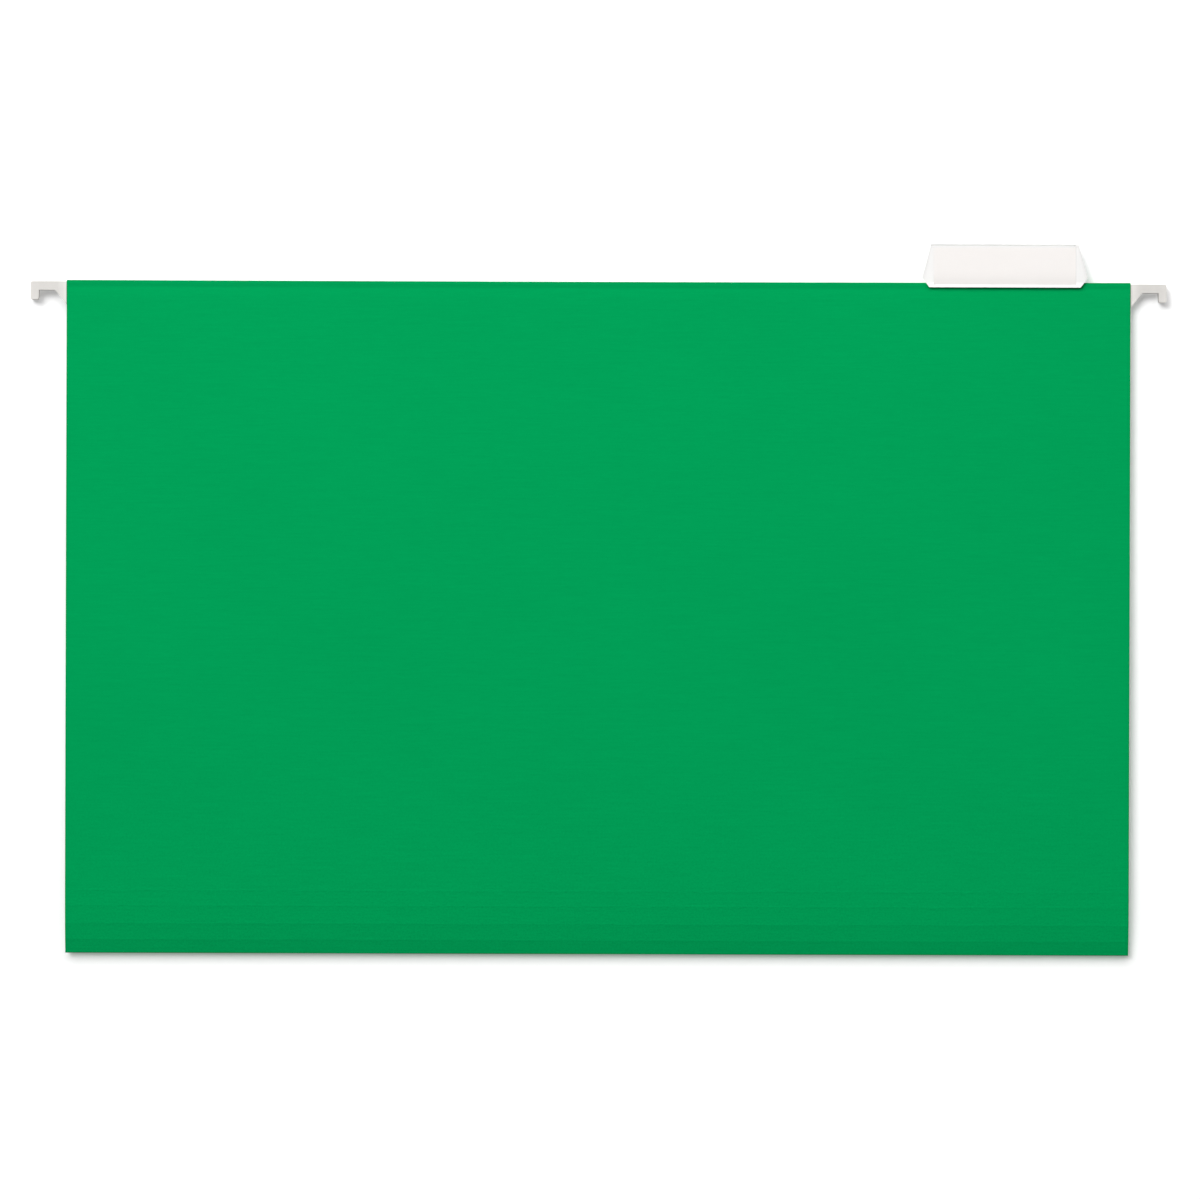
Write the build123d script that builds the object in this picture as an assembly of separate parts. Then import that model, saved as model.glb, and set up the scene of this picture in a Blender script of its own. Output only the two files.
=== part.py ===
from build123d import *
import os
from math import asin, atan2, cos, degrees, hypot, radians, sin, tan

# A hanging file folder: one creased sheet of heavy paper hung from two flat steel strips.
# X runs along the width, -Y is the front, +Z is up. The origin lies in the plane of the
# four hook seats, midway between them, so Z = 0 is the top of the two rails.

# Sheet
panel_width = 374.65
panel_height = 237.1
sheet_thickness = 0.28
pocket_depth = 4.4
crease_inner_radius = 0.1

# Score lines, as heights above the bottom edge; the first one is the hinge line of its leaf
score_heights = (22.2, 16.9, 10.6, 4.9)
score_width = 1.2
score_rise = 0.08

# Hem that carries a hanger strip: fold over the top, joggle under the strip, glued flap
hem_length = 24.0
hem_joggle_drop = 4.0
hem_front_space = 0.47
hem_rear_space = 0.1
glue_thickness = 0.1
glue_height = 7.5
glue_end_margin = 8.0
glue_edge_margin = 1.0

# Hanger strip and its hooks
strip_thickness = 0.7
strip_height = 9.5
strip_to_joggle = 0.5
hook_length = 12.7
hook_arm_height = 3.06
hook_below_sheet_top = 0.5
tip_height = 6.4
tip_root_width = 2.85
tip_foot_width = 2.7
notch_width = 5.75
notch_slope_degrees = 52.0
hook_corner_radius = 0.7
tip_foot_radius = 0.5
notch_radius = 0.8
coat_thickness = 0.2
coat_to_hem = 0.15

# Tab with a leaning front, its tongues and the slots that take them
tab_to_edge = 44.3
tab_positions = 5
tab_wall = 0.35
tab_rise = 13.5
tab_waist_rise = 1.65
tab_lip_drop = 1.85
tab_top_width = 52.0
tab_waist_width = 58.3
tab_lip_width = 53.2
tab_lean_degrees = 3.0
tab_fold_inner_radius = 0.3
tab_foot_height = 1.05
tab_channel_height = 0.6
tab_seat_gap = 0.05
tongue_length = 11.0
tongue_depth = 8.0
tongue_spacing = 30.0
tongue_chamfer = 1.5
slot_end_clearance = 0.5
label_width = 50.0
label_height = 12.8
label_thickness = 0.2
label_play = 0.06

overrun = 5.0

# Heights
hook_top = hook_arm_height
sheet_top = hook_top + hook_below_sheet_top
sheet_bottom = sheet_top - panel_height
strip_bottom = hook_top - strip_height
score_z = sheet_bottom + score_heights[0]

# Depths: the front leaf's outer and inner faces, and what lies behind them
leaf_inner_y = -pocket_depth / 2
leaf_outer_y = leaf_inner_y - sheet_thickness
hem_depth = 2 * sheet_thickness + hem_front_space + strip_thickness + hem_rear_space
strip_y = leaf_inner_y + hem_front_space + strip_thickness / 2
hem_fold_radius = hem_depth / 2
hem_fold_y = leaf_outer_y + hem_fold_radius
hem_fold_z = sheet_top - hem_fold_radius

# Bottom crease: the tilted part of each leaf runs tangent to a small round fold
crease_outer_radius = crease_inner_radius + sheet_thickness
crease_z = sheet_bottom + crease_outer_radius
score_reach = hypot(leaf_inner_y, score_z - crease_z)
tilt = atan2(-leaf_inner_y, score_z - crease_z) - asin(crease_inner_radius / score_reach)
strip_run = (score_reach**2 - crease_inner_radius**2) ** 0.5
fold_out = Vector(-cos(tilt), -sin(tilt))
fold_up = Vector(-sin(tilt), cos(tilt))

# Tab place, and the upright rear wall and top fold
tab_centre = panel_width / 2 - tab_to_edge
tab_top = sheet_top + tab_rise
tab_lip = sheet_top - tab_lip_drop
tab_shoulder_z = sheet_top + tab_seat_gap
tab_rear_y = leaf_inner_y + (hem_front_space - tab_wall) / 2
tab_fold_radius = tab_fold_inner_radius + tab_wall
tab_fold_y = tab_rear_y + tab_wall - tab_fold_radius
tab_fold_z = tab_top - tab_fold_radius
slot_length = tongue_length + 2 * slot_end_clearance

# Leaning front of the tab: its lower front corner, its length, and the depth of its foot
tab_lean = radians(tab_lean_degrees)
tab_foot_depth = 2 * tab_wall + label_thickness + 2 * label_play
tab_foot_z = tab_lip + tab_foot_depth * sin(tab_lean)
tab_front_length = (tab_fold_z + tab_fold_radius * sin(tab_lean) - tab_foot_z) / cos(tab_lean)
tab_foot_y = tab_fold_y - tab_fold_radius * cos(tab_lean) - tab_front_length * sin(tab_lean)


def outline(*points):
    """A closed face through the given points."""
    return make_face(Polyline(*points, close=True))


def block(low, high):
    """A box between two opposite corners."""
    size = Vector(*high) - Vector(*low)
    return Pos(*low) * Box(*size, align=(Align.MIN, Align.MIN, Align.MIN))


def along_width(section, width):
    """A section drawn in Y and Z, drawn out evenly to both sides of the middle."""
    return extrude(Plane.YZ * section, width / 2, both=True)


def through_depth(face, depth_middle, depth):
    """A front view drawn in X and Z, made into a plate about the given depth."""
    return Pos(Y=depth_middle) * extrude(Plane.XZ * face, depth / 2, both=True)


def fold_section(middle, inner_radius, wall, first, last):
    """The section of a sheet bent round a fold, between two turns in degrees."""
    outer = CenterArc(middle, inner_radius + wall, first, last - first)
    inner = CenterArc(middle, inner_radius, first, last - first)
    ends = Line(outer @ 0, inner @ 0) + Line(outer @ 1, inner @ 1)
    return make_face(outer + inner + ends)


def band(y_low, y_high, z_low, z_high):
    """An upright band of a Y and Z section."""
    return outline((y_low, z_low), (y_high, z_low), (y_high, z_high), (y_low, z_high))


def slot_places():
    """The middles of the tab slots along the width: a pair for each tab position."""
    pitch = 2 * tab_centre / (tab_positions - 1)
    middles = [place * pitch - tab_centre for place in range(tab_positions)]
    return [middle + side * tongue_spacing / 2 for middle in middles for side in (-1, 1)]


def make_leaf():
    """The flat of the front leaf, from its hinge line up to the start of the top fold."""
    return along_width(band(leaf_outer_y, leaf_inner_y, score_z, hem_fold_z), panel_width)


def make_hem():
    """The sheet folded over the hanger strip and joggled back to the leaf, with tab slots."""
    back_y = leaf_outer_y + hem_depth
    flap_y = leaf_inner_y + glue_thickness + sheet_thickness
    joggle_top = strip_bottom - strip_to_joggle
    joggle_bottom = joggle_top - hem_joggle_drop
    lean = atan2(back_y - flap_y, hem_joggle_drop)
    mitre = sheet_thickness * tan(lean / 2)
    flap = outline(
        (back_y - sheet_thickness, hem_fold_z),
        (back_y, hem_fold_z),
        (back_y, joggle_top),
        (flap_y, joggle_bottom),
        (flap_y, sheet_top - hem_length),
        (flap_y - sheet_thickness, sheet_top - hem_length),
        (flap_y - sheet_thickness, joggle_bottom + mitre),
        (back_y - sheet_thickness, joggle_top + mitre),
    )
    inside = hem_fold_radius - sheet_thickness
    fold = fold_section((hem_fold_y, hem_fold_z), inside, sheet_thickness, 0, 180)
    hem = along_width(fold + flap, panel_width)
    for middle in slot_places():
        hem -= block(
            (middle - slot_length / 2, leaf_inner_y, hem_fold_z),
            (middle + slot_length / 2, leaf_inner_y + hem_front_space, sheet_top + overrun),
        )
    return hem


def make_glue():
    """The glue line between the leaf and the flap of its hem."""
    low = sheet_top - hem_length + glue_edge_margin
    line = band(leaf_inner_y, leaf_inner_y + glue_thickness, low, low + glue_height)
    return along_width(line, panel_width - 2 * glue_end_margin)


def hanger_outline():
    """The coated hanger strip from the front: a long strip with a notched hook at each end."""
    reach = panel_width / 2 + hook_length
    tip_foot = hook_top - tip_height
    notch_outer = reach - tip_root_width
    notch_inner = notch_outer - notch_width
    slope_run = -strip_bottom / tan(radians(notch_slope_degrees))
    half = outline(
        (0, hook_top),
        (reach, hook_top),
        (reach, tip_foot),
        (reach - tip_foot_width, tip_foot),
        (notch_outer, 0),
        (notch_inner, 0),
        (notch_inner - slope_run, strip_bottom),
        (0, strip_bottom),
    )
    rounded = (
        (reach, hook_top, hook_corner_radius),
        (reach, tip_foot, tip_foot_radius),
        (reach - tip_foot_width, tip_foot, tip_foot_radius),
        (notch_inner, 0, notch_radius),
    )
    for x, z, radius in rounded:
        corner = half.vertices().sort_by_distance((x, z))[0]
        half = fillet(corner, radius)
    return half + mirror(half, about=Plane.YZ)


def make_hanger():
    """The steel core of the front hanger, and the coats of its left and right hooks."""
    coated = hanger_outline()
    bare = offset(coated, -coat_thickness, kind=Kind.INTERSECTION)
    core = through_depth(bare, strip_y, strip_thickness)
    coat = through_depth(coated, strip_y, strip_thickness + 2 * coat_thickness) - core
    start = panel_width / 2 + coat_to_hem
    end = start + hook_length + overrun
    low_y, high_y = strip_y - overrun, strip_y + overrun
    low_z, high_z = strip_bottom - overrun, hook_top + overrun
    left = coat & block((-end, low_y, low_z), (-start, high_y, high_z))
    right = coat & block((start, low_y, low_z), (end, high_y, high_z))
    return core, left, right


def tilted(along, out):
    """A point of the front leaf's tilted part, measured from its hinge line."""
    hinge = Vector(leaf_inner_y, score_z)
    return hinge - fold_up * along + fold_out * out


def score_ridge(middle, out):
    """The section of a pressed score line, at a distance from the hinge line."""
    return outline(
        tilted(middle - score_width / 2, out),
        tilted(middle, out + score_rise),
        tilted(middle + score_width / 2, out),
    )


def make_bottom_strip():
    """The scored, tilted part of the front leaf, from its hinge line to the crease line."""
    face = outline(
        tilted(0, 0),
        tilted(0, sheet_thickness),
        tilted(strip_run, sheet_thickness),
        tilted(strip_run, 0),
    )
    for height in score_heights[1:]:
        middle = (score_heights[0] - height) / cos(tilt)
        face += score_ridge(middle, sheet_thickness)
        face -= score_ridge(middle, 0)
    face += fold_section((0, crease_z), crease_inner_radius, sheet_thickness, 180 + degrees(tilt), 270)
    return along_width(face, panel_width)


def tab_face():
    """The tab from the front, down to its lip: it widens downward to a waist."""
    waist = sheet_top + tab_waist_rise
    half = outline(
        (0, tab_top),
        (tab_top_width / 2, tab_top),
        (tab_waist_width / 2, waist),
        (tab_lip_width / 2, tab_lip),
        (0, tab_lip),
    )
    return half + mirror(half, about=Plane.YZ)


def leaning(section):
    """A section of the tab's front, drawn inward and up from its lower front corner."""
    return Pos(tab_foot_y, tab_foot_z) * Rot(Z=-tab_lean_degrees) * section


def make_tab():
    """The folded plastic tab: leaning window over a channelled foot, rear wall with two tongues."""
    front = band(0, tab_wall, 0, tab_front_length)
    front += band(0, tab_foot_depth, 0, tab_foot_height)
    channel_top = tab_foot_height + tab_channel_height
    front += band(tab_foot_depth - tab_wall, tab_foot_depth, 0, channel_top)
    turn = 180 - tab_lean_degrees
    section = leaning(front)
    section += fold_section((tab_fold_y, tab_fold_z), tab_fold_inner_radius, tab_wall, 0, turn)
    section += band(tab_rear_y, tab_rear_y + tab_wall, tab_shoulder_z, tab_fold_z)
    silhouette = through_depth(tab_face(), tab_fold_y, 2 * overrun)
    tab = along_width(section, tab_waist_width) & silhouette
    tongue = Pos(Y=tab_shoulder_z - tongue_depth / 2) * Rectangle(tongue_length, tongue_depth)
    tongue = chamfer(tongue.vertices().group_by(Axis.Y)[0], tongue_chamfer)
    blade = through_depth(tongue, tab_rear_y + tab_wall / 2, tab_wall)
    for side in (-1, 1):
        tab += Pos(X=side * tongue_spacing / 2) * blade
    return Pos(X=tab_centre) * tab


def make_label():
    """The paper insert, standing in the channel of the tab's foot behind its window."""
    foot = tab_foot_height + label_play
    face = tab_wall + label_play
    card = band(face, face + label_thickness, foot, foot + label_height)
    return Pos(X=tab_centre) * along_width(leaning(card), label_width)


def make_parts():
    """Every piece of the folder by name: each front piece has a mirrored rear one."""
    core, left_tip, right_tip = make_hanger()
    halves = {
        "leaf": make_leaf(),
        "hem": make_hem(),
        "hem_glue": make_glue(),
        "hanger_bar": core,
        "left_tip": left_tip,
        "right_tip": right_tip,
        "bottom_strip": make_bottom_strip(),
    }
    parts = {f"front_{name}": piece for name, piece in halves.items()}
    for name, piece in halves.items():
        parts[f"rear_{name}"] = mirror(piece, about=Plane.XZ)
    parts["tab_holder"] = make_tab()
    parts["tab_label"] = make_label()
    return parts


os.makedirs("parts", exist_ok=True)
for name, piece in make_parts().items():
    export_step(piece, f"parts/{name}.step")
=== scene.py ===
import math

import bmesh
import bpy
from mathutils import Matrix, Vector


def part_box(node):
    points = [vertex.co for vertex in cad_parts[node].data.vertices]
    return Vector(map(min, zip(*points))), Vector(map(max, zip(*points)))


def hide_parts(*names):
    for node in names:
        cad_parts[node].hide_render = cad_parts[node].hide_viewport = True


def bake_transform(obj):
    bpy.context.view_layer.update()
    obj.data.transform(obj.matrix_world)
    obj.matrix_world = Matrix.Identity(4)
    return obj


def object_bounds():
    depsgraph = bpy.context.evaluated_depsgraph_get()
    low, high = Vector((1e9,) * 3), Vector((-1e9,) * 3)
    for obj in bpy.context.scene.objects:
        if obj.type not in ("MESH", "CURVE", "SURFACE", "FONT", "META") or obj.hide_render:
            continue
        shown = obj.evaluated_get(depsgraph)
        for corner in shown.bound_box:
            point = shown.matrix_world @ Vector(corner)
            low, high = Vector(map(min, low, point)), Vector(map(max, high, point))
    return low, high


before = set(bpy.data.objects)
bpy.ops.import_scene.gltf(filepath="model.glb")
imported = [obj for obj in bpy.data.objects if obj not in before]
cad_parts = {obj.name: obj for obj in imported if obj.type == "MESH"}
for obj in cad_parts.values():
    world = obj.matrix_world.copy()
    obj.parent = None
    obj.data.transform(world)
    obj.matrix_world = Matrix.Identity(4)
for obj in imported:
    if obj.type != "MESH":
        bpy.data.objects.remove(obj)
cad_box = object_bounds()

# Lengths are in metres, in the frame of the solids: +X right, -Y front, +Z up
MM = 0.001

# Photograph: what its square frame spans at the sheet, where its middle lies, and its tilt
PHOTO_SPAN = 422.6 * MM
PHOTO_MIDDLE_X = 0.8 * MM
PHOTO_MIDDLE_Z = -108.68 * MM
PHOTO_ROLL = math.radians(0.17)

# Camera: lens and sensor in millimetres, and the range of depths that it sees
LENS = 200.0
SENSOR = 36.0
CLIP_START = 0.05
CLIP_END = 50.0

# Sheet grid: the widest steps between its columns and between its rows
COLUMN_STEP = 4.0 * MM
ROW_STEP = 6.0 * MM

# Scored part: its score lines above the bottom, how far it leans in at each of them, their pressed
# beads, where its rows start above the hinge line, and the least gap before a line in bead steps
SCORE_HEIGHTS = (22.2 * MM, 16.9 * MM, 10.6 * MM, 4.9 * MM)
LEAN_SHARES = (0.0, 0.05, 0.21, 0.54)
BEAD_HEIGHT = 0.03 * MM
BEAD_HALF_WIDTH = 0.6 * MM
BEAD_STEPS = 3
SCORED_START = 2 * BEAD_HALF_WIDTH
LAST_GAP_SHARE = 1 / 3

# Bottom crease: its outer radius, and the turns in degrees at which it has rows
CREASE_RADIUS = 0.38 * MM
CREASE_TURNS = (8.0, 30.0, 52.0, 72.0, 90.0)

# Hem: the joggle under the hanger strip, and the fold's rows as outer and inner turns in degrees
JOGGLE_GAP = 0.5 * MM
JOGGLE_DROP = 4.0 * MM
TURNS_BEHIND_SLOT = tuple((turn, turn) for turn in (165.0, 147.0, 129.0, 111.0, 95.0))
TURNS_ACROSS_SLOT = ((80.0, 75.0), (63.0, 50.0), (46.0, 22.0))
TURNS_BEFORE_SLOT = ((24.0, 10.0),)

# Tab slots in the fold of each hem: pairs at even steps across the width
TAB_POSITIONS = 5
TONGUE_SPACING = 30.0 * MM
SLOT_LENGTH = 12.0 * MM

# How the paper strays from flat: the bow of its top edge, and waves that die out near its ends.
# Each wave has its radians per metre across and up, its phase and its share of the height.
TOP_BOW = 0.15 * MM
TOP_BOW_REACH = 70.0 * MM
WAVE_HEIGHT = 0.06 * MM
WAVE_MARGIN = 40.0 * MM
WAVES = (
    (17.0, 9.0, 1.0, 1.0),
    (31.0, -22.0, 2.0, 0.6),
    (5.0, 41.0, 0.0, 0.5),
)

# Edges: the angle from which they count as sharp, and how softly the solids' edges are rounded
SHARP_ANGLE = math.radians(40)
EDGE_SEGMENTS = 2
TIP_SOFTNESS = 0.12 * MM
TAB_SOFTNESS = 0.06 * MM

# Noise in the materials: the stretch of its range that is used, and its roughness
NOISE_RANGE = (0.3, 0.7)
NOISE_ROUGHNESS = 0.55

# Paper: repeats of its noises per metre, across and along where there are three, and how far each
# swings the tone; the lower part, which is darker and where the grain shows more; the fine relief
STREAK_REPEATS = (55.0, 1500.0, 1.0)
STREAK_SWING = 0.028
FIBRE_REPEATS = (240.0, 1900.0, 1.0)
FIBRE_SWING = 0.022
CLOUD_REPEATS = 14.0
CLOUD_SWING = 0.014
GRAIN_REPEATS = 1500.0
GRAIN_SWING = 0.07
GRAIN_TONE_RANGE = (0.25, 0.75)
GRAIN_ROUGH_RANGE = (0.2, 0.8)
UPPER_GRAIN_SHARE = 0.35
LOWER_PART_REACH = 85.0 * MM
LOWER_PART_DARKENING = 0.02
PAPER_ROUGHNESS = (0.86, 0.98)
FIBRE_RELIEF_SHARE = 0.6
PAPER_RELIEF = 0.25
PAPER_RELIEF_DEPTH = 0.05 * MM

# Paper tone: painted shade along the top fold, a darker share along the cut edges, and how fast they
# fade
FOLD_SHADE = 0.12
FOLD_REACH = 1.5 * MM
FOLD_RUN = 3.2 * MM
FOLD_FADE = 0.8 * MM
EDGE_SHADE = 0.16
EDGE_FADE = 0.7 * MM

# Hook coat: how far its painted sheen at both ends reaches, how pale it is at the sheet and at the tip,
# its unevenness
COAT_FADE = 3.2 * MM
COAT_ROOT_SHEEN = 0.2
COAT_TIP_SHEEN = 0.06
COAT_CLOUD_REPEATS = 260.0
COAT_CLOUD_TONE = (0.97, 1.02)
COAT_SPECK_REPEATS = 2600.0
COAT_SPECK_SWING = 0.015
COAT_ROUGHNESS = (0.42, 0.55)
COAT_RELIEF = 0.15
COAT_RELIEF_DEPTH = 0.05 * MM

# Steel strip and glue: their lines along the width
STEEL_REPEATS = (40.0, 2600.0, 2600.0)
STEEL_TONE = (0.85, 1.05)
STEEL_ROUGHNESS = (0.28, 0.45)
STEEL_RELIEF = 0.2
STEEL_RELIEF_DEPTH = 0.02 * MM
GLUE_REPEATS = (90.0, 400.0, 400.0)
GLUE_TONE = (0.85, 1.05)
GLUE_ROUGHNESS = (0.45, 0.7)

# Insert card: how much darker its foot is with painted shade and how far up that reaches, and its faint
# fibres
CARD_SHADE = 0.09
CARD_SHADE_RUN = 4.2 * MM
CARD_REPEATS = (300.0, 300.0, 1200.0)
CARD_TONE = (0.998, 1.002)
CARD_ROUGHNESS = (0.8, 0.95)

# Tab outline from the front: its widths at the top and at the waist
TAB_TOP = 52.0 * MM
TAB_WAIST = 58.3 * MM

# Tab tone: how much painted shade greys its rims and top fold and where that fades, how much darker
# its right-hand side is with painted shade, how much paler its foot is, and its faint haze
TAB_RIM_SHADE = 0.07
TAB_RIM_FADE = (0.25 * MM, 0.8 * MM)
TAB_FOLD_FADE = (-0.2 * MM, 0.3 * MM)
TAB_SIDE_SHADE = 0.05
TAB_FOOT_LIFT = 0.085
HAZE_REPEATS = 90.0
HAZE_TONE = (0.997, 1.003)
HAZE_ROUGHNESS = (0.285, 0.305)

# Tab density: of the clear front and the milky rear wall, the rear's share in the top fold, and the
# width of the border between two densities
CLEAR_DENSITY = 0.03
MILKY_DENSITY = 0.97
FOLD_DENSITY_SHARE = 0.75
TAB_WALL = 0.35 * MM
TAB_FOLD_RADIUS = 0.65 * MM
BORDER = 0.05 * MM

# Surface that the folder is seen against, and the floor far below it: their places and sizes
WALL_GAP = 0.2 * MM
WALL_LEAN = math.radians(0.14)
WALL_SIZE = 1.2
FLOOR_DROP = 0.45
FLOOR_SIZE = 16.0

# Their white: how pale they are in reflections and to the camera, and the glow that only the camera
# sees, which grows away from the folder
WALL_TONE = (0.78, 0.8)
MOTTLE_REPEATS = 40.0
WALL_SHARE = 0.95
NEAR_GLOW = 0.22
FAR_GLOW = 0.75
GLOW_START = 0.33
GLOW_END = 1.2

# Lights: power, place from the middle of the view, and size
KEY_POWER = 1.62
KEY_PLACE = Vector((-0.42, -1.0, 0.4))
KEY_ANGLE = math.radians(28)
TOP_POWER = 8.1
TOP_PLACE = Vector((-0.13, -0.72, 0.66))
TOP_SIZE = (1.6, 0.5)
REAR_POWER = 30.0
REAR_PLACE = Vector((0.9, 1.5, 0.8))
REAR_SIZE = (1.6, 1.2)
FILL_STRENGTH = 0.13
WHITE_STRENGTH = 1.0

# Colours, linear
GREEN = (0.0006, 0.337, 0.0925)
COAT_GREY = (0.66, 0.64, 0.612)
INSERT_WHITE = (0.872, 0.841, 0.82)
PLASTIC_WHITE = (0.902, 0.894, 0.884)
STEEL_GREY = (0.56, 0.57, 0.58)
GLUE_CREAM = (0.7, 0.62, 0.42)
SKY_WHITE = (1.0, 1.0, 1.0, 1.0)


def smoothstep(low, high, value):
    """0 below low, 1 above high, and a soft rise between."""
    t = min(1.0, max(0.0, (value - low) / (high - low)))
    return t * t * (3 - 2 * t)


def spread(low, high, step):
    """Evenly spaced values from low to high, no further apart than step."""
    count = max(1, math.ceil(abs(high - low) / step))
    return [low + (high - low) * i / count for i in range(count + 1)]


def depths(node):
    """How far a solid's outer and inner faces lie from the middle plane between the leaves."""
    low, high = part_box(node)
    return max(abs(low.y), abs(high.y)), min(abs(low.y), abs(high.y))


# Materials


class Nodes:
    """The node tree of a material or of the world, with short calls for adding and joining nodes."""

    def __init__(self, owner, output="OutputMaterial"):
        owner.use_nodes = True
        self.owner = owner
        self.tree = owner.node_tree
        self.tree.nodes.clear()
        self.output = self.add(output)

    def add(self, kind, inputs=(), **settings):
        node = self.tree.nodes.new("ShaderNode" + kind)
        for name, value in settings.items():
            setattr(node, name, value)
        for socket, value in dict(inputs).items():
            self.put(node.inputs[socket], value)
        return node

    def put(self, socket, value):
        if isinstance(value, bpy.types.NodeSocket):
            self.tree.links.new(value, socket)
        else:
            socket.default_value = value

    def math(self, operation, first, *others):
        for other in others or (0.0,):
            first = self.add("Math", {0: first, 1: other}, operation=operation).outputs[0]
        return first

    def place(self):
        return self.add("TexCoord").outputs["Object"]

    def parts(self, vector):
        return self.add("SeparateXYZ", {0: vector}).outputs

    def stretched(self, coordinate, repeats):
        return self.add("Mapping", {"Vector": coordinate, "Scale": repeats}).outputs[0]

    def noise(self, coordinate, repeats=1.0, detail=3.0):
        inputs = {"Vector": coordinate, "Scale": repeats, "Detail": detail}
        inputs["Roughness"] = NOISE_ROUGHNESS
        return self.add("TexNoise", inputs).outputs["Fac"]

    def ramp(self, value, low, high, to_low, to_high):
        inputs = {0: value, 1: low, 2: high, 3: to_low, 4: to_high}
        return self.add("MapRange", inputs, clamp=True).outputs[0]

    def between(self, noise, low, high, within=NOISE_RANGE):
        return self.ramp(noise, *within, low, high)

    def swing(self, noise, size, within=NOISE_RANGE):
        return self.between(noise, -size, size, within)

    def tint(self, colour, value):
        return self.add("VectorMath", {0: colour, "Scale": value}, operation="SCALE").outputs[0]

    def bump(self, height, strength, distance):
        inputs = {"Height": height, "Strength": strength, "Distance": distance}
        return self.add("Bump", inputs).outputs[0]

    def principled(self, inputs):
        return self.finish(self.add("BsdfPrincipled", inputs).outputs[0])

    def finish(self, shader):
        self.tree.links.new(shader, self.output.inputs["Surface"])
        return self.owner


def new_material(name):
    """The empty node tree of a new material."""
    return Nodes(bpy.data.materials.new(name))


def fold_painted_shade(n, height):
    """Painted shade: how much darker the sheet is where it folds round the hanger strip."""
    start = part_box("front_leaf")[1].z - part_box("front_bottom_strip")[0].z
    rise = n.ramp(height, start - FOLD_REACH, start - FOLD_REACH + FOLD_FADE, 0.0, FOLD_SHADE)
    fall = n.ramp(height, start + FOLD_RUN, start + FOLD_RUN + FOLD_FADE, 1.0, 0.0)
    return n.math("MULTIPLY", rise, fall)


def cut_edge(n, across):
    """How much darker the sheet is along its two cut side edges."""
    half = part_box("front_leaf")[1].x
    return n.ramp(n.math("ABSOLUTE", across), half - EDGE_FADE, half, 0.0, EDGE_SHADE)


def paper_material():
    """Dyed heavy paper: fibres run along the width, with cloudy dye and a darker, grainier lower part.
    """
    n = new_material("green_paper")
    flat = n.add("UVMap", uv_map="flat").outputs[0]
    across, height, _ = n.parts(flat)
    streaks = n.noise(n.stretched(flat, STREAK_REPEATS), detail=4.0)
    fibres = n.noise(n.stretched(flat, FIBRE_REPEATS))
    clouds = n.noise(flat, CLOUD_REPEATS)
    grain = n.noise(flat, GRAIN_REPEATS, detail=2.0)
    lower_part = n.ramp(height, 0.0, LOWER_PART_REACH, 1.0, 0.0)
    grit = n.swing(grain, GRAIN_SWING, GRAIN_TONE_RANGE)
    grit = n.math("MULTIPLY", grit, n.math("ADD", lower_part, UPPER_GRAIN_SHARE))
    dye = n.math("ADD", n.swing(streaks, STREAK_SWING), n.swing(fibres, FIBRE_SWING))
    tone = n.math("ADD", dye, n.swing(clouds, CLOUD_SWING), grit)
    # Painted shade along the top fold, together with the darker cut edges
    fold_shade_and_dark_edge = n.math("MAXIMUM", fold_painted_shade(n, height), cut_edge(n, across))
    tone = n.math("SUBTRACT", tone, n.math("MULTIPLY", lower_part, LOWER_PART_DARKENING), fold_shade_and_dark_edge)
    relief = n.math("ADD", n.math("MULTIPLY", fibres, FIBRE_RELIEF_SHARE),
                    n.math("MULTIPLY", grain, 1 - FIBRE_RELIEF_SHARE))
    return n.principled({
        "Base Color": n.tint(GREEN, n.math("ADD", tone, 1.0)),
        "Roughness": n.between(grain, *PAPER_ROUGHNESS, GRAIN_ROUGH_RANGE),
        "Specular IOR Level": 0.0,
        "Normal": n.bump(relief, PAPER_RELIEF, PAPER_RELIEF_DEPTH),
    })


def coat_material():
    """Satin polymer coat on the hooks, with painted sheen at both ends, uneven as a dipped coat is."""
    n = new_material("hook_coat")
    place = n.place()
    along = n.math("ABSOLUTE", n.parts(place)["X"])
    root, tip = (corner.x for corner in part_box("front_right_tip"))
    # Painted sheen: paler towards the sheet and towards the tip
    painted_sheen = n.math("ADD", n.ramp(along, root, root + COAT_FADE, COAT_ROOT_SHEEN, 0.0),
                  n.ramp(along, tip - COAT_FADE, tip, 0.0, COAT_TIP_SHEEN))
    cloud = n.noise(place, COAT_CLOUD_REPEATS)
    speck = n.noise(place, COAT_SPECK_REPEATS, detail=2.0)
    tone = n.math("ADD", n.between(cloud, *COAT_CLOUD_TONE), n.swing(speck, COAT_SPECK_SWING), painted_sheen)
    return n.principled({
        "Base Color": n.tint(COAT_GREY, tone),
        "Roughness": n.between(cloud, *COAT_ROUGHNESS),
        "Specular IOR Level": 0.3,
        "Normal": n.bump(speck, COAT_RELIEF, COAT_RELIEF_DEPTH),
    })


def steel_material():
    """Cold-rolled strip steel with fine rolling lines along its length."""
    n = new_material("strip_steel")
    lines = n.noise(n.stretched(n.place(), STEEL_REPEATS))
    return n.principled({
        "Base Color": n.tint(STEEL_GREY, n.between(lines, *STEEL_TONE)),
        "Metallic": 1.0,
        "Roughness": n.between(lines, *STEEL_ROUGHNESS),
        "Normal": n.bump(lines, STEEL_RELIEF, STEEL_RELIEF_DEPTH),
    })


def glue_material():
    """Dry adhesive film between the leaf and its flap."""
    n = new_material("hem_glue")
    smear = n.noise(n.stretched(n.place(), GLUE_REPEATS))
    return n.principled({
        "Base Color": n.tint(GLUE_CREAM, n.between(smear, *GLUE_TONE)),
        "Roughness": n.between(smear, *GLUE_ROUGHNESS),
    })


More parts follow.
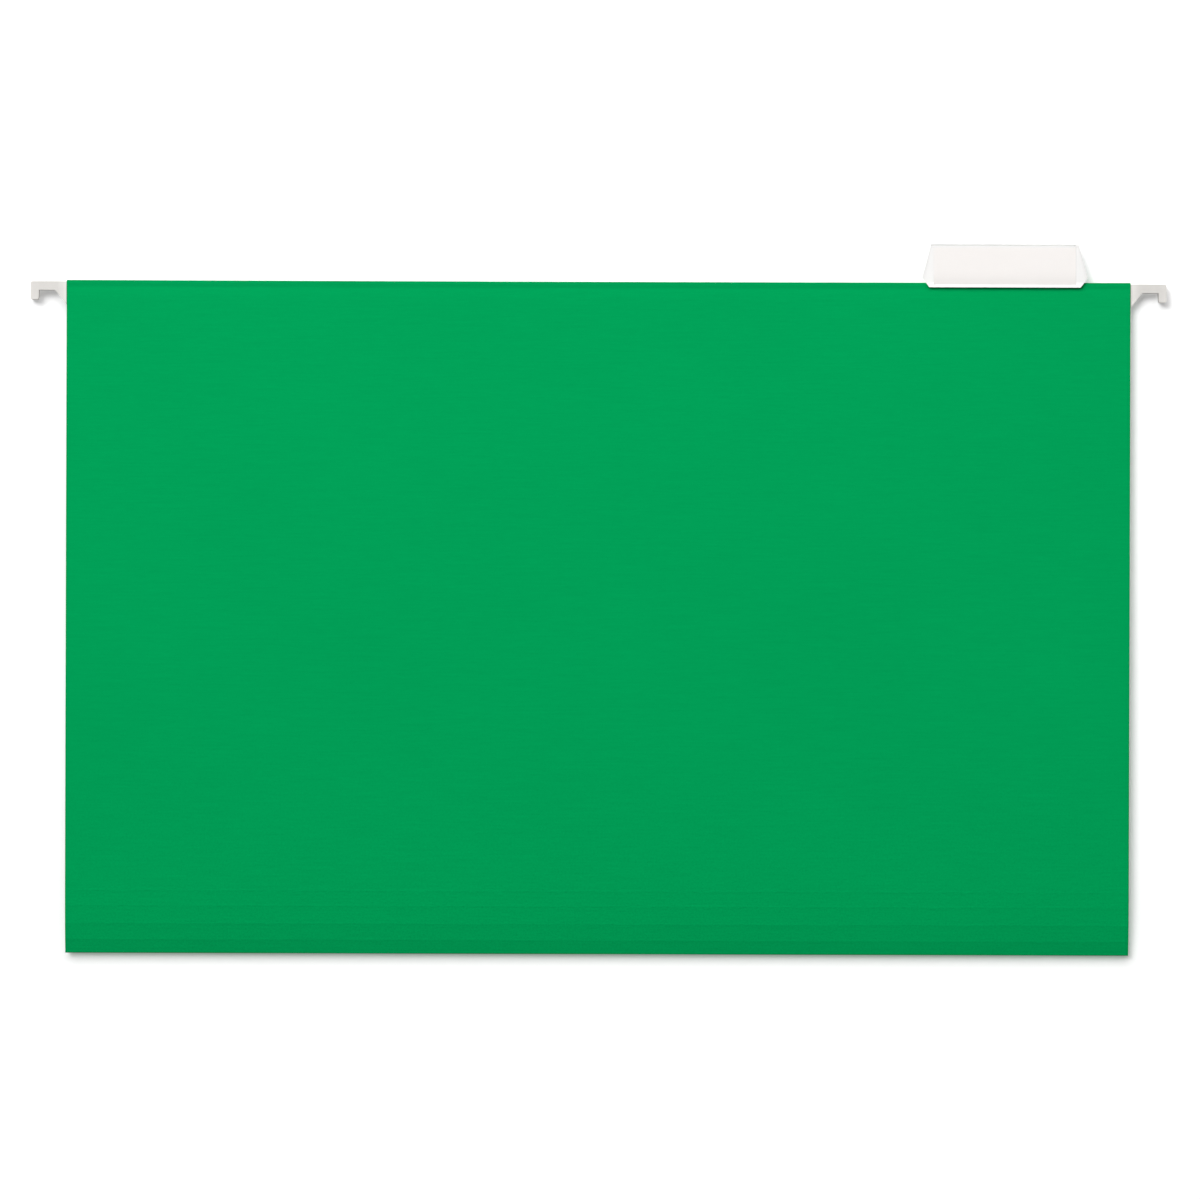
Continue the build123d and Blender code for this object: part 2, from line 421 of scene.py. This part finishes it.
def insert_material():
    """Off-white card of the insert, with faint fibres and painted shade at its foot."""
    n = new_material("insert_card")
    place = n.place()
    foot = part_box("tab_label")[0].z
    # Painted shade: darker towards the card's foot
    shade = n.ramp(n.parts(place)["Z"], foot, foot + CARD_SHADE_RUN, CARD_SHADE, 0.0)
    fibres = n.noise(n.stretched(place, CARD_REPEATS), detail=4.0)
    return n.principled({
        "Base Color": n.tint(INSERT_WHITE, n.math("SUBTRACT", n.between(fibres, *CARD_TONE), shade)),
        "Roughness": n.between(fibres, *CARD_ROUGHNESS),
        "Specular IOR Level": 0.0,
    })


def plastic_material():
    """Plastic of the tab: clear at the front, milky at the rear and on the right, white at the foot."""
    n = new_material("tab_plastic")
    place = n.place()
    x, y, z = n.parts(place)
    (tab_low, tab_high), (card_low, card_high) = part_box("tab_holder"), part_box("tab_label")
    sheet_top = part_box("front_hem")[1].z
    half_card = (card_high.x - card_low.x) / 2
    aside = n.math("ABSOLUTE", n.math("SUBTRACT", x, (tab_low.x + tab_high.x) / 2))

    foot = n.ramp(z, card_low.z - BORDER, card_low.z, 1.0, 0.0)
    beside = n.ramp(aside, half_card, half_card + BORDER, 0.0, 1.0)
    corner = n.math("MULTIPLY", beside, n.ramp(z, sheet_top, sheet_top + BORDER, 1.0, 0.0))
    base = n.math("MAXIMUM", foot, corner)
    side = n.ramp(x, card_high.x, card_high.x + BORDER, 0.0, 1.0)
    wall_start = tab_high.y - TAB_WALL - 2 * BORDER
    fold_start = tab_high.z - TAB_FOLD_RADIUS
    rear = n.math("MULTIPLY", n.ramp(y, wall_start, wall_start + BORDER, 0.0, 1.0),
                  n.ramp(z, fold_start, fold_start + BORDER, 1.0, FOLD_DENSITY_SHARE))
    dense = n.ramp(n.math("MAXIMUM", base, side, rear), 0.0, 1.0, CLEAR_DENSITY, MILKY_DENSITY)

    # Painted shade: greyer rims and top fold, and a darker right-hand side
    half_tab = n.ramp(z, card_low.z, tab_high.z, TAB_WAIST / 2, TAB_TOP / 2)
    rim_shade = n.ramp(n.math("SUBTRACT", half_tab, aside), *TAB_RIM_FADE, 1.0, 0.0)
    fade_low, fade_high = (card_high.z + offset for offset in TAB_FOLD_FADE)
    tab_fold_shade = n.ramp(z, fade_low, fade_high, 0.0, 1.0)
    tab_painted_shade = n.math("MULTIPLY", n.math("MAXIMUM", rim_shade, tab_fold_shade), TAB_RIM_SHADE)
    tab_painted_shade = n.math("ADD", tab_painted_shade, n.math("MULTIPLY", side, TAB_SIDE_SHADE))
    tab_painted_shade = n.math("MULTIPLY", tab_painted_shade, n.math("SUBTRACT", 1.0, foot))
    haze = n.noise(place, HAZE_REPEATS, detail=2.0)
    tone = n.math("SUBTRACT", n.between(haze, *HAZE_TONE), tab_painted_shade)
    tone = n.math("ADD", tone, n.math("MULTIPLY", base, TAB_FOOT_LIFT))
    return n.principled({
        "Base Color": n.tint(PLASTIC_WHITE, tone),
        "Roughness": n.between(haze, *HAZE_ROUGHNESS),
        "Specular IOR Level": 0.4,
        "Alpha": n.math("MAXIMUM", base, dense),
    })


def backdrop_material(name):
    """White surface that keeps soft shadows, is whiter far off and can't be seen from behind."""
    n = new_material(name)
    seen = n.add("LightPath").outputs["Is Camera Ray"]
    place = n.place()
    away = n.add("VectorMath", {0: place}, operation="LENGTH").outputs["Value"]
    plain = n.between(n.noise(place, MOTTLE_REPEATS, detail=2.0), *WALL_TONE)
    white = n.ramp(seen, 0.0, 1.0, plain, WALL_SHARE)
    colour = n.add("CombineXYZ", {0: white, 1: white, 2: white}).outputs[0]
    lit = n.add("BsdfDiffuse", {"Color": colour}).outputs[0]
    level = n.ramp(away, GLOW_START, GLOW_END, NEAR_GLOW, FAR_GLOW)
    glow = n.add("Emission", {"Strength": n.math("MULTIPLY", seen, level)}).outputs[0]
    face = n.add("AddShader", {0: lit, 1: glow}).outputs[0]
    clear = n.add("BsdfTransparent").outputs[0]
    behind = n.add("NewGeometry").outputs["Backfacing"]
    return n.finish(n.add("MixShader", {0: behind, 1: face, 2: clear}).outputs[0])


# Sheet


def bead(distance):
    """How far a pressed score line stands out of the sheet, at a distance from its middle."""
    return BEAD_HEIGHT * (1 - smoothstep(0.0, BEAD_HALF_WIDTH, abs(distance)))


def hem_rows(side):
    """Outer and inner points of the flap, the joggle and the fold over the hanger strip."""
    outside, inside = depths(f"{side}_leaf")
    thick = outside - inside
    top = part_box(f"{side}_leaf")[1].z
    hem_low, hem_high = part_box(f"{side}_hem")
    depth = hem_high.y - hem_low.y
    joggle_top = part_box(f"{side}_hanger_bar")[0].z - JOGGLE_GAP
    joggle_bottom = joggle_top - JOGGLE_DROP
    flap = depths(f"{side}_hem_glue")[1] - thick
    back = outside - depth
    rows = [((flap, z), (flap + thick, z)) for z in spread(hem_low.z, joggle_bottom, ROW_STEP)]
    rows += [((back, z), (back + thick, z)) for z in spread(joggle_top, top, ROW_STEP)]
    middle, radius = outside - depth / 2, depth / 2
    for outer, inner in TURNS_BEHIND_SLOT + TURNS_ACROSS_SLOT + TURNS_BEFORE_SLOT:
        a, b = math.radians(outer), math.radians(inner)
        rows.append((
            (middle + radius * math.cos(a), top + radius * math.sin(a)),
            (middle + (radius - thick) * math.cos(b), top + (radius - thick) * math.sin(b)),
        ))
    return rows


def leaf_rows(side):
    """Outer and inner points of the flat of a leaf, down to the start of its scored part."""
    low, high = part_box(f"{side}_leaf")
    outside, inside = depths(f"{side}_leaf")
    return [((outside, z), (inside, z)) for z in spread(high.z, low.z + SCORED_START, ROW_STEP)[:-1]]


def lean_path(side):
    """The leaning lower part as outer points from the start of the scored part to the crease."""
    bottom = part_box(f"{side}_bottom_strip")[0].z
    outside = depths(f"{side}_leaf")[0]
    run = outside - CREASE_RADIUS
    path = [Vector((outside, bottom + SCORED_START + SCORE_HEIGHTS[0]))]
    for share, height in zip(LEAN_SHARES, SCORE_HEIGHTS):
        path.append(Vector((outside - run * share, bottom + height)))
    path.append(Vector((CREASE_RADIUS, bottom + CREASE_RADIUS)))
    return path


def strip_rows(side):
    """Outer and inner points of the scored part, with a bead along each score line."""
    outside, inside = depths(f"{side}_leaf")
    path = lean_path(side)
    scores = path[1:-1]
    step = BEAD_HALF_WIDTH / BEAD_STEPS
    steps = [step * k for k in range(BEAD_STEPS + 2)]
    rows = []
    for start, end in zip(path, path[1:]):
        along = (end - start).normalized()
        outward = Vector((-along.y, along.x))
        length = (end - start).length
        marks = {*steps, *(length - mark for mark in steps[1:]), length / 2}
        for mark in sorted(m for m in marks if 0 <= m < length - step * LAST_GAP_SHARE):
            middle = start + along * mark
            lift = max(bead((middle - score).length) for score in scores)
            outer = middle + outward * lift
            rows.append((tuple(outer), tuple(outer - outward * (outside - inside))))
    return rows


def crease_rows(side):
    """Outer and inner points of a half of the bottom crease, to the middle plane."""
    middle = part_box(f"{side}_bottom_strip")[0].z + CREASE_RADIUS
    outside, inside = depths(f"{side}_leaf")
    inner_radius = CREASE_RADIUS - (outside - inside)
    rows = []
    for turn in CREASE_TURNS:
        c, s = math.cos(math.radians(turn)), math.sin(math.radians(turn))
        rows.append((
            (CREASE_RADIUS * c, middle - CREASE_RADIUS * s),
            (inner_radius * c, middle - inner_radius * s),
        ))
    return rows


def slot_spans():
    """Start and end of each tab slot along the width."""
    tab_low, tab_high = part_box("tab_holder")
    last = (tab_low.x + tab_high.x) / 2
    spans = []
    for place in range(TAB_POSITIONS):
        middle = last * (2 * place / (TAB_POSITIONS - 1) - 1)
        for offset in (-TONGUE_SPACING / 2, TONGUE_SPACING / 2):
            start = middle + offset - SLOT_LENGTH / 2
            spans.append((start, start + SLOT_LENGTH))
    return spans


def sheet_columns(spans):
    """Places across the width at which the sheet has an edge loop, slot ends among them."""
    low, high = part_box("front_leaf")
    stops = [low.x] + [x for span in spans for x in span] + [high.x]
    columns = [low.x]
    for start, end in zip(stops, stops[1:]):
        columns += spread(start, end, COLUMN_STEP)[1:]
    return columns


def stray(x, y, z, low, high, sign):
    """A point of the sheet moved by the paper's slight waves and the bow of its top edge."""
    half = (high.x - low.x) / 2
    top = high.z
    bow = TOP_BOW * (1 - (x / half) ** 2) * smoothstep(top - TOP_BOW_REACH, top, z)
    calm = smoothstep(low.z, low.z + WAVE_MARGIN, z) * (1 - smoothstep(top - WAVE_MARGIN, top, z))
    wave = 0.0
    for across, up, phase, share in WAVES:
        wave += share * math.sin(across * x + up * z + phase * sign)
    return (x, sign * (y + WAVE_HEIGHT * wave * calm), z - bow)


def row_lengths(rows):
    """Distance of each row from the lower end of the sheet, measured along its outer face."""
    lengths = [0.0]
    for (one, _), (two, _) in zip(reversed(rows), reversed(rows[:-1])):
        lengths.append(lengths[-1] + math.dist(one, two))
    return lengths[::-1]


def thick_sheet(name, columns, rows, kept, place):
    """A closed sheet of paper over a grid of columns and rows, without the cells that kept drops."""
    mesh = bmesh.new()
    layer = mesh.loops.layers.uv.new("flat")
    lengths = row_lengths(rows)
    points = ({}, {})

    def point(level, i, j):
        if (i, j) not in points[level]:
            points[level][i, j] = mesh.verts.new(place(columns[i], *rows[j][level]))
        return points[level][i, j]

    def quad(corners):
        face = mesh.faces.new([point(*c) for c in corners])
        for loop, (_, i, j) in zip(face.loops, corners):
            loop[layer].uv = (columns[i], lengths[j])

    cells = {(i, j) for i in range(len(columns) - 1) for j in range(len(rows) - 1) if kept(i, j)}
    for i, j in sorted(cells):
        ring = [(i, j), (i + 1, j), (i + 1, j + 1), (i, j + 1)]
        quad([(0, *c) for c in ring])
        quad([(1, *c) for c in reversed(ring)])
        beside = [(i, j - 1), (i + 1, j), (i, j + 1), (i - 1, j)]
        for cell, one, two in zip(beside, ring, ring[1:] + ring[:1]):
            if cell not in cells:
                quad([(0, *two), (0, *one), (1, *one), (1, *two)])
    bmesh.ops.recalc_face_normals(mesh, faces=mesh.faces)
    return shaped(name, mesh)


def shaped(name, mesh):
    """An object of the finished mesh, smooth apart from its cut edges."""
    data = bpy.data.meshes.new(name)
    mesh.to_mesh(data)
    mesh.free()
    data.polygons.foreach_set("use_smooth", [True] * len(data.polygons))
    data.set_sharp_from_angle(angle=SHARP_ANGLE)
    piece = bpy.data.objects.new(name, data)
    bpy.context.collection.objects.link(piece)
    return piece


def make_sheet(side, sign, material):
    """One half of the folded sheet: hem, leaf and scored part, bending at the leaf's hinge line."""
    low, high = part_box(f"{side}_leaf")
    hem = hem_rows(side)
    rows = hem + leaf_rows(side) + strip_rows(side) + crease_rows(side)
    slot_end = len(hem) - len(TURNS_BEFORE_SLOT)
    slot_rows = range(slot_end - len(TURNS_ACROSS_SLOT), slot_end - 1)
    spans = slot_spans()
    columns = sheet_columns(spans)

    def kept(i, j):
        middle = (columns[i] + columns[i + 1]) / 2
        return j not in slot_rows or not any(a < middle < b for a, b in spans)

    def place(x, y, z):
        return stray(x, y, z, low, high, sign)

    piece = thick_sheet(f"{side}_sheet", columns, rows, kept, place)
    piece.data.materials.append(material)
    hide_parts(f"{side}_leaf", f"{side}_hem", f"{side}_bottom_strip")
    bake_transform(piece)


# Solids that stay


def paint(node, material):
    """Gives a solid its material."""
    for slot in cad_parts[node].material_slots:
        slot.material = material


def soften(node, width):
    """Rounds a solid's edges a little without touching its mesh."""
    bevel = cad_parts[node].modifiers.new("edge", "BEVEL")
    bevel.width = width
    bevel.segments = EDGE_SEGMENTS
    bevel.limit_method = "ANGLE"
    bevel.angle_limit = SHARP_ANGLE
    bevel.harden_normals = False


def dress_solids():
    """Materials and soft edges of the solids that show as they are."""
    coat, steel, glue = coat_material(), steel_material(), glue_material()
    for side in ("front", "rear"):
        paint(f"{side}_hanger_bar", steel)
        paint(f"{side}_hem_glue", glue)
        for end in ("left", "right"):
            paint(f"{side}_{end}_tip", coat)
            soften(f"{side}_{end}_tip", TIP_SOFTNESS)
    paint("tab_holder", plastic_material())
    soften("tab_holder", TAB_SOFTNESS)
    paint("tab_label", insert_material())


# Stage


def plane(name, corners):
    """A flat, white stage surface through four corners that throws no soft light on the object."""
    data = bpy.data.meshes.new(name)
    data.from_pydata(corners, [], [(0, 1, 2, 3)])
    data.materials.append(backdrop_material(f"{name}_white"))
    surface = bpy.data.objects.new(name, data)
    bpy.context.collection.objects.link(surface)
    surface.visible_diffuse = False
    return surface


def make_stage():
    """The white surface behind the folder, and a pale floor below it."""
    half, reach = WALL_SIZE / 2, FLOOR_SIZE / 2
    bottom, top = PHOTO_MIDDLE_Z - FLOOR_DROP, PHOTO_MIDDLE_Z + half
    near = cad_box[1].y + WALL_GAP
    hem_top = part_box("rear_hem")[1].z
    low_y, high_y = (near + (hem_top - z) * math.tan(WALL_LEAN) for z in (bottom, top))
    wall = plane("backdrop", [
        (-half, low_y, bottom), (half, low_y, bottom), (half, high_y, top), (-half, high_y, top),
    ])
    wall.visible_shadow = False
    plane("floor", [
        (-reach, -reach, bottom), (reach, -reach, bottom),
        (reach, reach, bottom), (-reach, reach, bottom),
    ])


def add_light(kind, name, power, place, **settings):
    """A lamp at a place from the middle of the view, turned towards that middle."""
    data = bpy.data.lights.new(name, kind)
    data.energy = power
    for key, value in settings.items():
        setattr(data, key, value)
    lamp = bpy.data.objects.new(name, data)
    bpy.context.collection.objects.link(lamp)
    lamp.location = Vector((0, 0, PHOTO_MIDDLE_Z)) + place
    lamp.rotation_mode = "QUATERNION"
    lamp.rotation_quaternion = (-place).to_track_quat("-Z", "Y")
    lamp.visible_camera = False


def add_panel(name, power, place, size):
    """A rectangular area light."""
    width, height = size
    add_light("AREA", name, power, place, shape="RECTANGLE", size=width, size_y=height)


def fill_world():
    """An even fill that is plain white to the camera, in reflections and through clear parts."""
    world = bpy.data.worlds.new("studio")
    bpy.context.scene.world = world
    n = Nodes(world, "OutputWorld")
    rays = n.add("LightPath").outputs
    seen = (rays[f"Is {kind} Ray"] for kind in ("Camera", "Glossy", "Transmission"))
    strength = n.ramp(n.math("MAXIMUM", *seen), 0.0, 1.0, FILL_STRENGTH, WHITE_STRENGTH)
    n.finish(n.add("Background", {"Color": SKY_WHITE, "Strength": strength}).outputs[0])


def light_scene():
    """A soft key from the upper left, a broad top light, a rear light and an even fill."""
    add_light("SUN", "key", KEY_POWER, KEY_PLACE, angle=KEY_ANGLE)
    add_panel("top", TOP_POWER, TOP_PLACE, TOP_SIZE)
    add_panel("rear", REAR_POWER, REAR_PLACE, REAR_SIZE)
    fill_world()


def add_camera():
    """The photograph's view: straight at the front leaf from far away, a little rolled."""
    data = bpy.data.cameras.new("camera")
    data.lens = LENS
    data.sensor_width = SENSOR
    data.clip_start, data.clip_end = CLIP_START, CLIP_END
    camera = bpy.data.objects.new("camera", data)
    bpy.context.collection.objects.link(camera)
    distance = PHOTO_SPAN * LENS / SENSOR
    camera.location = (PHOTO_MIDDLE_X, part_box("front_leaf")[0].y - distance, PHOTO_MIDDLE_Z)
    camera.rotation_euler = (math.pi / 2, -PHOTO_ROLL, 0)
    bpy.context.scene.camera = camera


add_camera()
paper = paper_material()
make_sheet("front", -1, paper)
make_sheet("rear", 1, paper)
dress_solids()
make_stage()
light_scene()
bpy.context.scene.view_settings.view_transform = "Standard"
